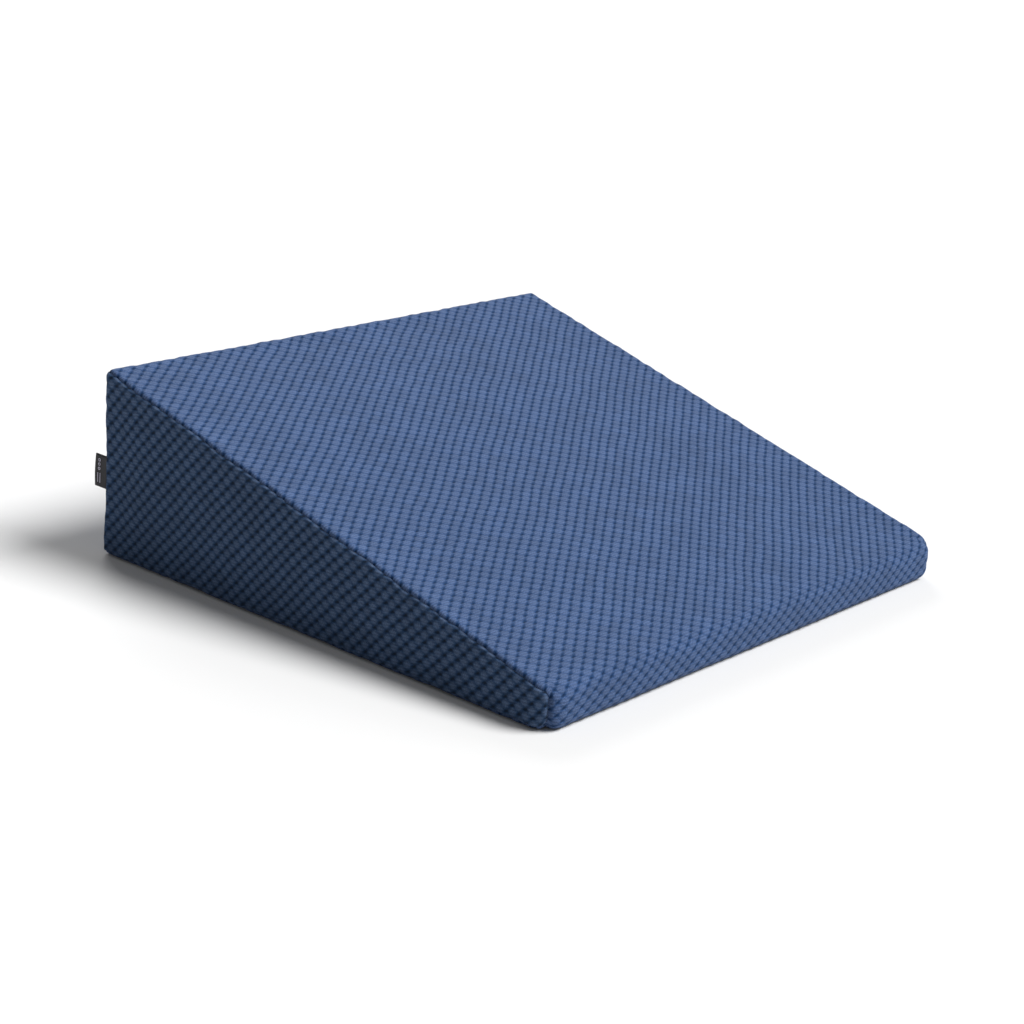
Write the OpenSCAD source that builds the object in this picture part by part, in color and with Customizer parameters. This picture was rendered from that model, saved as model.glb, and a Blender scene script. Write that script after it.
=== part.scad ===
// Wedge cushion: a two-layer foam wedge in a removable padded-knit cover with a zip across its thick end.
// Units are millimetres. +Z is up, X runs across the width, the thick end faces +Y and the thin nose faces -Y.
// The origin lies on the floor at the middle of the base.

/* [Wedge] */
// Width of the cushion from side to side
body_w = 600; // [400:10:800]
// Length along the floor from nose to thick end
body_l = 520; // [420:10:700]
// Height of the thick end
rear_h = 170; // [130:5:240]
// Height of the thin nose
nose_h = 34; // [32:1:50]

/* [Edges] */
// Radius of the upper edge of the nose
nose_top_r = 13; // [8:1:15]
// Radius of the lower edge of the nose
nose_base_r = 9; // [6:1:12]
// Radius of the two edges of the thick end
edge_r = 6; // [5:1:9]

/* [Cover] */
// Thickness of the padded knit
cloth_t = 2.5; // [1.8:0.1:3]
// Width of the groove that each seam lies in
seam_w = 1.4; // [1.2:0.1:2]
// Thickness of the seam thread
thread_d = 0.8; // [0.6:0.1:0.9]
// Distance of the lower nose seam from the front of the nose
nose_seam_in = 16; // [14:1:24]

/* [Foam] */
// Thickness of the soft upper foam layer
comfort_t = 20; // [12:1:22]
// Space between the foam and the cover
foam_gap = 0.5; // [0.3:0.1:1]

/* [Zip] */
// Height of the zip above the floor
zip_z = 42; // [34:1:60]
// Height of the window between the two rear panels
zip_window = 12; // [11:0.5:14]
// Width of one zip tape
tape_w = 15; // [12:1:16]
// Distance of the end tacks from the cushion's sides
tack_in = 24; // [15:1:60]
// Length of the pull tab from its pivot
tab_l = 28; // [20:1:34]

/* [Label] */
// Height of the middle of the side label above the floor
label_z = 76; // [40:1:90]
// Height of the side label
label_h = 30; // [20:1:40]
// Distance that the side label stands out of the seam
label_out = 12; // [8:1:20]

/* [Hidden] */
$fn = 48;

half_w = body_w / 2;
half_l = body_l / 2;
slope_a = atan2(rear_h - nose_h, body_l);

// Height of the slope's outer face above a point of the floor.
function slope_z(y) = nose_h + (y + half_l) * tan(slope_a);

// Centre of an upper edge's rounding, which touches the slope and an upright end.
function upper_centre(y, r) = [y, slope_z(y) - r / cos(slope_a)];

// Rounded corners of the side outline in [Y, Z]: centre, radius, and the rounding's first and last angle.
to_slope = 90 + slope_a;
corners = [[upper_centre(-half_l + nose_top_r, nose_top_r), nose_top_r, 180, to_slope],
           [upper_centre(half_l - edge_r, edge_r), edge_r, to_slope, 0],
           [[half_l - edge_r, edge_r], edge_r, 0, -90],
           [[-half_l + nose_base_r, nose_base_r], nose_base_r, -90, -180]];
rear_top = corners[1];
rear_base = corners[2];
arc_steps = 10;

// Directions that halve the two rear corners, where the seams run.
out_top = [cos(to_slope / 2), sin(to_slope / 2)];
out_base = [cos(45), -sin(45)];

inner_x = half_w - cloth_t - seam_w;
nose_seam_y = -half_l + nose_seam_in;
foam_in = cloth_t + foam_gap;
thread_in = cloth_t / 2;
glue_gap = 0.3;

tape_t = 0.6;
tape_y = half_l - cloth_t - 0.2 - tape_t;
zip_slot = 0.6;
coil_w = 2.5;
coil_t = 2.2;
coil_y = tape_y + tape_t + 0.1;
plate_t = 1;
plate_gap = 0.3;
front_y = coil_y + coil_t + plate_gap;
back_y = tape_y - plate_gap - plate_t;
slider_half = 5.5;
tack_x = half_w - tack_in;
slider_x = tack_x - 1 - slider_half - 2;
post_x = 2.6;
coil_end_x = slider_x + post_x - 0.4;
pin_r = 0.6;
pin_y = front_y + plate_t + plate_gap + pin_r;
bridge_half = 3.6;
bridge_leg = 1;
bridge_gap = 1.7;
bridge_t = 0.9;
bridge_z = 0.9;
tab_eye = 4.6;
tab_arm_in = 1.3;
tab_arm_out = 2.6;
tab_end_r = 3.4;
stitch_t = 0.5;
stitch_in = 3.5;
label_t = 0.8;

cloth = [0.20, 0.29, 0.45];
cloth_dark = [0.15, 0.20, 0.32];
foam_grey = [0.86, 0.86, 0.82];
foam_white = [0.93, 0.91, 0.84];
zip_navy = [0.09, 0.12, 0.20];
metal = [0.16, 0.17, 0.20];
thread = [0.11, 0.15, 0.25];
label_black = [0.05, 0.05, 0.07];

// Direction of a corner's rounding after k of its steps.
function round_dir(c, k) = let (a = c[2] + (c[3] - c[2]) * k / arc_steps) [cos(a), sin(a)];

// Side outline drawn in [Y, Z], set in from the outside by d.
module outline(d) {
  polygon([for (c = corners, k = [0:arc_steps]) c[0] + (c[1] - d) * round_dir(c, k)]);
}

// A shape drawn in [Y, Z] and carried along X from x0 to x1.
module across(x0, x1) {
  translate([x0, 0, 0]) rotate([90, 0, 90]) linear_extrude(height = x1 - x0) children();
}

// A shape drawn in [X, Z] around the zip's line and carried along Y from y0 to y1.
module on_rear(x, y0, y1) {
  translate([x, y1, zip_z]) rotate([90, 0, 0]) linear_extrude(height = y1 - y0) children();
}

// A block given by its low and high corners.
module block(lo, hi) {
  translate(lo) cube(hi - lo);
}

// Groove for a seam through the cloth at a rounded corner.
module corner_groove(c, out) {
  translate(c[0]) rotate(atan2(out[1], out[0])) translate([0, -seam_w / 2]) square([2 * edge_r, seam_w]);
}

// Band of cloth around the wedge with its seam grooves and zip window cut out.
module cloth_band() {
  difference() {
    outline(0);
    outline(cloth_t);
    corner_groove(rear_top, out_top);
    corner_groove(rear_base, out_base);
    translate([nose_seam_y - seam_w / 2, -1]) square([seam_w, cloth_t + 2]);
    translate([half_l - cloth_t - 1, zip_z - zip_window / 2]) square([cloth_t + 2, zip_window]);
  }
}

// One panel of the band: the part that lies inside an area in [Y, Z].
module band_panel(area) {
  across(-inner_x, inner_x) intersection() {
    cloth_band();
    polygon(area);
  }
}

far = 60;
seam_low = [nose_seam_y, -far];
seam_high = [nose_seam_y, cloth_t + 8];
top_far = rear_top[0] + far * out_top;
base_far = rear_base[0] + far * out_base;
zip_in = [half_l - edge_r, zip_z];
zip_far = [half_l + far, zip_z];

module foam_base() {
  color(foam_grey) difference() {
    across(-half_w + foam_in, half_w - foam_in) difference() {
      outline(foam_in);
      layer_area(foam_in + comfort_t + glue_gap, 2 * rear_h);
    }
    // The foam is pressed back behind the zip tapes and the slider.
    block([-half_w, back_y - 0.4, zip_z - tape_w - 1.5], [half_w, half_l, zip_z + tape_w + 1.5]);
  }
}

// Area above a line that runs d under the slope, as thick as t.
module layer_area(d, t) {
  translate([-half_l, nose_h - d / cos(slope_a)]) rotate(slope_a) translate([-far, 0])
    square([body_l + 2 * far, t]);
}

module comfort_foam_layer() {
  color(foam_white) across(-half_w + foam_in, half_w - foam_in) intersection() {
    outline(foam_in);
    layer_area(foam_in + comfort_t, comfort_t + far);
  }
}

module top_panel() {
  color(cloth) band_panel([seam_low, seam_high, rear_top[0], top_far, [-half_l, rear_h + far],
                           [-half_l - far, rear_h], [-half_l - far, -far]]);
}

module bottom_panel() {
  color(cloth_dark) band_panel([seam_low, seam_high, rear_base[0], base_far]);
}

module rear_panel_upper() {
  color(cloth) band_panel([rear_top[0], top_far, [half_l + far, rear_h + far], zip_far, zip_in]);
}

module rear_panel_lower() {
  color(cloth) band_panel([rear_base[0], base_far, [half_l + far, -far], zip_far, zip_in]);
}

module left_side_panel() {
  color(cloth) across(-half_w, -half_w + cloth_t) outline(0);
}

module right_side_panel() {
  color(cloth) across(half_w - cloth_t, half_w) outline(0);
}

module tape(side) {
  z0 = zip_z + side * (zip_slot + tape_w / 2);
  block([-inner_x, tape_y, z0 - tape_w / 2], [inner_x, tape_y + tape_t, z0 + tape_w / 2]);
}

module zip_tape_upper() {
  color(zip_navy) tape(1);
}

module zip_tape_lower() {
  color(zip_navy) tape(-1);
}

module coil(side) {
  z0 = zip_z + side * (zip_slot + coil_w / 2);
  block([-tack_x + 1.4, coil_y, z0 - coil_w / 2], [coil_end_x, coil_y + coil_t, z0 + coil_w / 2]);
}

module zip_coil_upper() {
  color(zip_navy) coil(1);
}

module zip_coil_lower() {
  color(zip_navy) coil(-1);
}

// A dense bar of stitches across both tapes that ends the slider's travel.
module tack(x) {
  block([x - 1, coil_y, zip_z - 4.5], [x + 1, coil_y + 1.6, zip_z + 4.5]);
}

module zip_end_tack_left() {
  color(thread) tack(-tack_x);
}

module zip_end_tack_right() {
  color(thread) tack(tack_x);
}

// Outline of the slider's plates in [X, Z]: a narrow tail, wide shoulders and a chamfered mouth.
slider_shape = [[-slider_half, 3.9], [-1, 4.3], [2.6, 5], [4.6, 4.7], [slider_half, 3.2]];

module slider_plate() {
  polygon(concat(slider_shape, [for (k = [4:-1:0]) [slider_shape[k][0], -slider_shape[k][1]]]));
}

// The slider: two plates, side lips that hold the coils, the post between the plates and the pull's bridge.
module zip_slider() {
  lip_in = zip_slot + coil_w + plate_gap;
  color(metal) union() {
    on_rear(slider_x, front_y, front_y + plate_t) slider_plate();
    on_rear(slider_x, back_y, back_y + plate_t) slider_plate();
    on_rear(slider_x, coil_y + 0.2, front_y + 0.1) difference() {
      slider_plate();
      square([4 * slider_half, 2 * lip_in], center = true);
    }
    on_rear(slider_x, back_y + 0.1, front_y + 0.1) translate([post_x, -0.3]) square([2.4, 0.6]);
    difference() {
      on_rear(slider_x, front_y + 0.1, front_y + plate_t + bridge_gap + bridge_t)
        square([2 * bridge_half, 2 * bridge_z], center = true);
      on_rear(slider_x, front_y + plate_t, front_y + plate_t + bridge_gap)
        square([2 * (bridge_half - bridge_leg), 4 * bridge_z], center = true);
    }
  }
}

// The pull tab lies along the closed zip; its round bar turns under the slider's bridge.
module zip_pull_tab() {
  tip = tab_l - tab_end_r;
  color(metal) union() {
    translate([slider_x, pin_y, zip_z - tab_arm_out]) cylinder(h = 2 * tab_arm_out, r = pin_r);
    on_rear(slider_x, pin_y - pin_r, pin_y + pin_r) difference() {
      union() {
        polygon([[0, tab_arm_out], [-tab_eye - 2, tab_arm_out], [-tip, tab_end_r],
                 [-tip, -tab_end_r], [-tab_eye - 2, -tab_arm_out], [0, -tab_arm_out]]);
        translate([-tip, 0]) circle(r = tab_end_r);
      }
      translate([-tab_eye, -tab_arm_in]) square([tab_eye + 1, 2 * tab_arm_in]);
      translate([-tip, 0]) circle(r = 1.6);
    }
  }
}

// A row of stitches on a rear panel, beside the zip window.
module stitch_row(side) {
  y0 = half_l + 0.05;
  z0 = zip_z + side * (zip_window / 2 + stitch_in);
  block([-inner_x + 1, y0, z0 - stitch_t / 2], [inner_x - 1, y0 + stitch_t, z0 + stitch_t / 2]);
}

module zip_stitching_upper() {
  color(thread) stitch_row(1);
}

module zip_stitching_lower() {
  color(thread) stitch_row(-1);
}

// A thread that runs right around the wedge between a side panel and the band.
module thread_loop(x) {
  across(x - thread_d / 2, x + thread_d / 2) difference() {
    outline(thread_in - thread_d / 2);
    outline(thread_in + thread_d / 2);
  }
}

module seam_thread_left() {
  color(thread) thread_loop(-half_w + cloth_t + seam_w / 2);
}

module seam_thread_right() {
  color(thread) thread_loop(half_w - cloth_t - seam_w / 2);
}

// A straight thread along X through a point in [Y, Z].
module thread_line(p) {
  translate([-inner_x, p[0], p[1]]) rotate([0, 90, 0]) cylinder(h = 2 * inner_x, r = thread_d / 2, $fn = 24);
}

module seam_thread_rear_top() {
  color(thread) thread_line(rear_top[0] + (edge_r - thread_in) * out_top);
}

module seam_thread_rear_base() {
  color(thread) thread_line(rear_base[0] + (edge_r - thread_in) * out_base);
}

module seam_thread_nose_base() {
  color(thread) thread_line([nose_seam_y, thread_in]);
}

module side_label() {
  x0 = -half_w + cloth_t + seam_w / 2;
  y0 = half_l - thread_in + thread_d / 2 + 0.3;
  color(label_black) block([x0 - label_t / 2, y0, label_z - label_h / 2],
                           [x0 + label_t / 2, half_l + label_out, label_z + label_h / 2]);
}

foam_base();
comfort_foam_layer();
top_panel();
bottom_panel();
left_side_panel();
right_side_panel();
rear_panel_upper();
rear_panel_lower();
zip_tape_upper();
zip_tape_lower();
zip_coil_upper();
zip_coil_lower();
zip_end_tack_left();
zip_end_tack_right();
zip_slider();
zip_pull_tab();
zip_stitching_upper();
zip_stitching_lower();
seam_thread_left();
seam_thread_right();
seam_thread_rear_top();
seam_thread_rear_base();
seam_thread_nose_base();
side_label();
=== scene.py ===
"""A foam wedge cushion in a padded-knit cover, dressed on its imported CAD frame.

Lengths are in metres in the shared frame: X runs across, +Y points to the thick end, -Y to the nose and
Z is up.
"""

import math

import bmesh
import bpy
import numpy as np
from mathutils import Matrix, Vector


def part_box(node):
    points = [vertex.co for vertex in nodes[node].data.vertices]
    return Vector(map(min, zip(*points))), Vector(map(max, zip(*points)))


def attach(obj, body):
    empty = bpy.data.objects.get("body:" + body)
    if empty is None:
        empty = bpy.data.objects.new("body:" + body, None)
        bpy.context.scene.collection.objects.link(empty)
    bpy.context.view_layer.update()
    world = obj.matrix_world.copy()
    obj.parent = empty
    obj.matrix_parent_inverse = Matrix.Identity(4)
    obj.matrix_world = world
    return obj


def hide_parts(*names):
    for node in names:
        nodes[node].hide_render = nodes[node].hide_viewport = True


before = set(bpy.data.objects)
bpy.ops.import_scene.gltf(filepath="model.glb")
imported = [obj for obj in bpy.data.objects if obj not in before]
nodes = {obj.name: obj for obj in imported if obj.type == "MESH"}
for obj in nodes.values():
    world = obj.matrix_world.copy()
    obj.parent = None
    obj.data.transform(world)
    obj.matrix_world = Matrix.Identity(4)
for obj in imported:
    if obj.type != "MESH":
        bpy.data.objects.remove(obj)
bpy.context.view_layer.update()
MM = 0.001

# ---------------------------------------------------------------- sizes from the frame
side_low, side_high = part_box("left_side_panel")
HALF_W = -side_low[0]
NOSE_Y, REAR_Y = side_low[1], side_high[1]
CLOTH_T = side_high[0] - side_low[0]
THREAD_R = 0.4 * MM
NOSE_SEAM_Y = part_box("seam_thread_nose_base")[0][1] + THREAD_R
ZIP_LOW, ZIP_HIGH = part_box("rear_panel_lower")[1][2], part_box("rear_panel_upper")[0][2]
ZIP_Z = (ZIP_LOW + ZIP_HIGH) / 2
NOSE_TOP_R, NOSE_BASE_R, EDGE_R = 13 * MM, 9 * MM, 6 * MM


def slope_line():
    """Two points in [Y, Z] on the slope: the ends of the side panel's highest long sloping edge."""
    mesh = nodes["left_side_panel"].data
    long_run, clear_rise, same_x = 0.5 * (REAR_Y - NOSE_Y), 50 * MM, 1e-6
    best = None
    for edge in mesh.edges:
        a, b = (mesh.vertices[i].co for i in edge.vertices)
        rise, run = abs(a.z - b.z), abs(a.y - b.y)
        if abs(a.x - b.x) < same_x and run > long_run and rise > clear_rise:
            if best is None or min(a.z, b.z) > min(best[0][1], best[1][1]):
                best = sorted([(a.y, a.z), (b.y, b.z)])
    return best


(LOW_Y, LOW_Z), (HIGH_Y, HIGH_Z) = slope_line()
SLOPE_A = math.atan2(HIGH_Z - LOW_Z, HIGH_Y - LOW_Y)
NOSE_H = LOW_Z - (LOW_Y - NOSE_Y) * math.tan(SLOPE_A)


def slope_z(y):
    """Height of the slope's outer face at y."""
    return NOSE_H + (y - NOSE_Y) * math.tan(SLOPE_A)


# ---------------------------------------------------------------- smooth noise and helpers
NOISE_CELLS = 97


def noise(x, y, cell, seed):
    """Smooth noise from -1 to 1 between random values one cell apart."""
    table = np.random.default_rng(seed).uniform(-1, 1, (NOISE_CELLS, NOISE_CELLS))
    x, y = np.broadcast_arrays(np.asarray(x, float) / cell, np.asarray(y, float) / cell)
    i, j = np.floor(x).astype(int), np.floor(y).astype(int)
    fx, fy = x - i, y - j
    fx, fy = fx * fx * (3 - 2 * fx), fy * fy * (3 - 2 * fy)
    i0, j0 = i % NOISE_CELLS, j % NOISE_CELLS
    i1, j1 = (i + 1) % NOISE_CELLS, (j + 1) % NOISE_CELLS
    low = table[i0, j0] * (1 - fx) + table[i1, j0] * fx
    high = table[i0, j1] * (1 - fx) + table[i1, j1] * fx
    return low * (1 - fy) + high * fy


def smoothstep(x):
    """0 below 0, 1 above 1 and a smooth rise between."""
    x = np.clip(x, 0, 1)
    return x * x * (3 - 2 * x)


def new_mesh(name, points, faces, smooth=True):
    """A new mesh object in the scene."""
    mesh = bpy.data.meshes.new(name)
    mesh.from_pydata([tuple(p) for p in points], [], faces)
    mesh.validate()
    if smooth:
        mesh.polygons.foreach_set("use_smooth", [True] * len(mesh.polygons))
    obj = bpy.data.objects.new(name, mesh)
    bpy.context.collection.objects.link(obj)
    return obj


def outward(obj):
    """Turns every face of a closed mesh outward."""
    bm = bmesh.new()
    bm.from_mesh(obj.data)
    bmesh.ops.recalc_face_normals(bm, faces=bm.faces)
    bm.to_mesh(obj.data)
    bm.free()


def tube_faces(rings, around):
    """Faces of a tube of rings with so many points around each one, closed by a face at each end."""
    faces = []
    for i in range(rings - 1):
        here, there = i * around, (i + 1) * around
        for k in range(around):
            after = (k + 1) % around
            faces.append((here + k, here + after, there + after, there + k))
    last = (rings - 1) * around
    return faces + [tuple(range(around))[::-1], tuple(range(last, last + around))]


def give(obj, body, slot, *replaced, material=None):
    """Hands a piece over to the frame: its material, the CAD nodes it replaces and its body. The slot argument
    is not used.
    """
    if material is not None:
        obj.data.materials.clear()
        obj.data.materials.append(material)
    if replaced:
        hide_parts(*replaced)
    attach(obj, body)
    return obj


# ---------------------------------------------------------------- the wedge's outline
# The cover is drawn as an inner outline, EDGE_R in from the faces, with a direction pointing out of it.
# Walking starts at the seam under the nose and goes up the nose, up the slope, down the rear and back.
TO_BASE, TO_NOSE, TO_REAR = np.array([0, -1.0]), np.array([-1.0, 0]), np.array([1.0, 0])
TO_SLOPE = np.array([-math.sin(SLOPE_A), math.cos(SLOPE_A)])


def upper_centre(y, r):
    """Centre of a rounding of radius r under the slope at y."""
    return np.array([y, slope_z(y) - r / math.cos(SLOPE_A)])


C_NOSE_BASE = np.array([NOSE_Y + NOSE_BASE_R, NOSE_BASE_R])
C_NOSE_TOP = upper_centre(NOSE_Y + NOSE_TOP_R, NOSE_TOP_R)
C_REAR_TOP = upper_centre(REAR_Y - EDGE_R, EDGE_R)
C_REAR_BASE = np.array([REAR_Y - EDGE_R, EDGE_R])


def straight(a, b, d, step):
    """Straight stretch of the inner outline from a to b that faces along d: points and directions."""
    n = max(2, int(round(np.linalg.norm(b - a) / step)))
    t = np.linspace(0, 1, n + 1)[:, None]
    return a + (b - a) * t, np.repeat(d[None], n + 1, 0)


def turn(centre, r, a0, a1, step):
    """Rounded corner of the inner outline whose outer face has radius r: points and directions."""
    n = max(4, int(math.ceil(abs(a1 - a0) * r / step)))
    a = np.linspace(a0, a1, n + 1)
    d = np.stack([np.cos(a), np.sin(a)], 1)
    return centre + (r - EDGE_R) * d, d


def chain(*parts):
    """Joins stretches and drops the doubled points. Returns points, directions and outer arc length."""
    p = np.concatenate([q[0] if i == 0 else q[0][1:] for i, q in enumerate(parts)])
    d = np.concatenate([q[1] if i == 0 else q[1][1:] for i, q in enumerate(parts)])
    outer = p + EDGE_R * d
    s = np.concatenate([[0], np.cumsum(np.linalg.norm(np.diff(outer, axis=0), axis=1))])
    return p, d, s


def inner(p, d):
    """The inner outline's point below p, a point of an outer face that looks along d."""
    return np.asarray(p, float) - EDGE_R * np.asarray(d)


A_SLOPE = math.pi / 2 + SLOPE_A
A_TOP_SEAM, A_BASE_SEAM = A_SLOPE / 2, -math.pi / 4
UNDER_NOSE = inner([NOSE_SEAM_Y, 0], TO_BASE)
NOSE_IN_BASE = C_NOSE_BASE + (NOSE_BASE_R - EDGE_R) * TO_BASE
NOSE_IN_LOW = C_NOSE_BASE + (NOSE_BASE_R - EDGE_R) * TO_NOSE
NOSE_IN_HIGH = C_NOSE_TOP + (NOSE_TOP_R - EDGE_R) * TO_NOSE
SLOPE_LOW = C_NOSE_TOP + (NOSE_TOP_R - EDGE_R) * TO_SLOPE


# The four stretches of the band, each from seam to seam, or from a seam to the zip.
def top_outline(step):
    return chain(
        straight(UNDER_NOSE, NOSE_IN_BASE, TO_BASE, step),
        turn(C_NOSE_BASE, NOSE_BASE_R, -math.pi / 2, -math.pi, step),
        straight(NOSE_IN_LOW, NOSE_IN_HIGH, TO_NOSE, step),
        turn(C_NOSE_TOP, NOSE_TOP_R, math.pi, A_SLOPE, step),
        straight(SLOPE_LOW, C_REAR_TOP, TO_SLOPE, step),
        turn(C_REAR_TOP, EDGE_R, A_SLOPE, A_TOP_SEAM, step),
    )


def rear_upper_outline(step):
    return chain(
        turn(C_REAR_TOP, EDGE_R, A_TOP_SEAM, 0, step),
        straight(C_REAR_TOP, inner([REAR_Y, ZIP_HIGH], TO_REAR), TO_REAR, step),
    )


def rear_lower_outline(step):
    return chain(
        straight(inner([REAR_Y, ZIP_LOW], TO_REAR), C_REAR_BASE, TO_REAR, step),
        turn(C_REAR_BASE, EDGE_R, 0, A_BASE_SEAM, step),
    )


def bottom_outline(step):
    return chain(
        turn(C_REAR_BASE, EDGE_R, A_BASE_SEAM, -math.pi / 2, step),
        straight(C_REAR_BASE, UNDER_NOSE, TO_BASE, step),
    )


# ---------------------------------------------------------------- the side seams
SEAM_WAVE = math.radians(17)
SEAM_WAVE_LONG, SEAM_WAVE_SHORT = 48 * MM, 17 * MM
SEAM_HALF_GAP = 0.25 * MM
SEAM_SEEDS = {-1: 11, 1: 23}
CALM_BASE = 0.3


def near_corner(p):
    """1 well away from the two rear corners, where three seams meet, and 0 at them."""
    to_top = np.linalg.norm(p - C_REAR_TOP, axis=1)
    to_base = np.linalg.norm(p - C_REAR_BASE, axis=1)
    return smoothstep(np.minimum(to_top, to_base) / (30 * MM))


def seam_angle(p, d, side):
    """How far round the edge the side seam lies, from the band's face at 0 to the side's at 90 degrees."""
    facing = np.maximum(np.maximum(d @ TO_SLOPE, d @ TO_REAR), d @ TO_BASE)
    base = np.where(p[:, 0] > 0, np.arctan(np.clip(facing, 0.2, 1)), math.pi / 4)
    seed = SEAM_SEEDS[side]
    line = p[:, 0] + 0.7 * p[:, 1]
    long_wave = noise(line, 0 * line, SEAM_WAVE_LONG, seed)
    wave = 0.62 * long_wave + 0.38 * noise(line, 0 * line, SEAM_WAVE_SHORT, seed + 1)
    calm = near_corner(p) * np.where(d[:, 1] < -0.5, CALM_BASE, 1.0)
    return base + SEAM_WAVE * wave * calm


# ---------------------------------------------------------------- the knit's relief
PAD_W, PAD_H = 15.26 * MM, 10.64 * MM
PIT_HALF_W, PIT_HALF_H = 2.8 * MM, 1.3 * MM


def pit_axes(tilt):
    """How far a step of each lattice phase goes along and across a tilted pit, in half pits."""
    c, s = math.cos(tilt), math.sin(tilt)
    along = [(k * PAD_W / 2 * c + PAD_H / 2 * s) / PIT_HALF_W for k in (1, -1)]
    across = [(PAD_H / 2 * c - k * PAD_W / 2 * s) / PIT_HALF_H for k in (1, -1)]
    return along, across


# Each cloth's two lattice directions, in pads per metre along its width and height, and its pits' axes.
BAND_KNIT = (((1 / PAD_W, 1 / PAD_H), (-1 / PAD_W, 1 / PAD_H)), pit_axes(math.radians(14)))
SIDE_KNIT = (((68.0, 101.0), (-79.0, 72.0)), pit_axes(math.radians(6)))
RELIEF = 1.05 * MM
SIDE_RELIEF = 1.35 * RELIEF
WARP, WARP_CELL = 1.1 * MM, 50 * MM
FINE_WARP, FINE_WARP_CELL = 0.35 * MM, 12 * MM
PAD_TONES = 211

# What a seam does to the cloth beside it, as heights and as distances from the seam.
SEAM_PULL, SEAM_PULL_W = 1.2 * MM, 1.3 * MM
SEAM_ROLL, SEAM_ROLL_AT, SEAM_ROLL_W = 0.5 * MM, 8 * MM, 5 * MM
FLAT_TO, FLAT_FADE, FLAT_SHARE = 1 * MM, 11 * MM, 0.22
PUCKER, PUCKER_FADE, PUCKER_FROM = 0.55 * MM, 9 * MM, 2 * MM
PUCKER_CELL, WIDE_PUCKER_CELL = 8.5 * MM, 21 * MM
SLOW_WAVE, SLOW_CELL = 0.7 * MM, 110 * MM
LESS_SLOW_WAVE, LESS_SLOW_CELL = 0.3 * MM, 40 * MM
SLOW_FROM_SEAM = 30 * MM


def pads(u, v, knit, seed):
    """The knit at a place on the flat cloth: height from 0 in a pit to 1 on a pad, and its two phases."""
    wu = u + WARP * noise(u, v, WARP_CELL, seed) + FINE_WARP * noise(u, v, FINE_WARP_CELL, seed + 1)
    wv = v + WARP * noise(u, v, WARP_CELL, seed + 2) + FINE_WARP * noise(u, v, FINE_WARP_CELL, seed + 3)
    lattice, (along, across) = knit
    p1 = lattice[0][0] * wu + lattice[0][1] * wv
    p2 = lattice[1][0] * wu + lattice[1][1] * wv
    swell = (2 + np.cos(2 * np.pi * p1) + np.cos(2 * np.pi * p2)) / 4
    d1, d2 = p1 - np.floor(p1) - 0.5, p2 - np.floor(p2) - 0.5
    r2 = (d1 * along[0] + d2 * along[1]) ** 2 + (d1 * across[0] + d2 * across[1]) ** 2
    table = np.random.default_rng(seed + 4).uniform(0, 1, (PAD_TONES, PAD_TONES))
    tone = table[np.round(p1).astype(int) % PAD_TONES, np.round(p2).astype(int) % PAD_TONES]
    dome, pit = 1 - (1 - swell) ** 2.4, 1 - np.exp(-r2 / 1.2)
    return (0.62 * dome + 0.38 * pit) * (0.88 + 0.12 * tone), p1, p2


def cloth_height(u, v, dist, along, knit, seed, flat=False, relief_depth=RELIEF):
    """Offset of the cloth from the ideal face, and the lattice phases there.

    Pads sink towards the seam, which is dist away, the seam is pulled in with puckers along it, and slow
    waves cross the rest. A flat cloth lies on the floor, so it has no waves and no roll beside the seam.
    """
    h, p1, p2 = pads(u, v, knit, seed)
    full = FLAT_SHARE + (1 - FLAT_SHARE) * smoothstep((dist - FLAT_TO) / FLAT_FADE)
    relief = relief_depth * (h - 1) * full
    pull = -SEAM_PULL * np.exp(-((dist / SEAM_PULL_W) ** 2))
    roll = SEAM_ROLL * np.exp(-(((dist - SEAM_ROLL_AT) / SEAM_ROLL_W) ** 2))
    pucker = noise(along, 0 * along, PUCKER_CELL, seed + 7)
    pucker = pucker + 0.6 * noise(along, 0 * along, WIDE_PUCKER_CELL, seed + 8)
    pucker = PUCKER * pucker * np.exp(-dist / PUCKER_FADE) * smoothstep(dist / PUCKER_FROM)
    slow = 0.0
    if not flat:
        slow = SLOW_WAVE * noise(u, v, SLOW_CELL, seed + 9)
        slow = slow + LESS_SLOW_WAVE * noise(u, v, LESS_SLOW_CELL, seed + 10)
    edge = smoothstep(dist / SLOW_FROM_SEAM)
    return relief + pull + np.where(flat, 0, roll) + pucker + slow * edge, p1, p2


def add_cloth_data(obj, u, v, p1, p2):
    """Stores where each point lies on the flat cloth, for the yarn, and in the pad lattice."""
    for name, x, y in (("cloth", u, v), ("lattice", p1, p2)):
        data = np.zeros((len(obj.data.vertices), 3), np.float32)
        data[: len(x), 0], data[: len(x), 1] = x, y
        layer = obj.data.attributes.new(name, "FLOAT_VECTOR", "POINT")
        layer.data.foreach_set("vector", data.ravel())


NOSE_CORNER_R, NOSE_LIFT_R = 21 * MM, 16 * MM
LEAN, LEAN_FROM, LEAN_OVER = 4.5 * MM, 60 * MM, 110 * MM
LIFT, LIFT_FULL_Z = 2.5 * MM, 168 * MM


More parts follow.
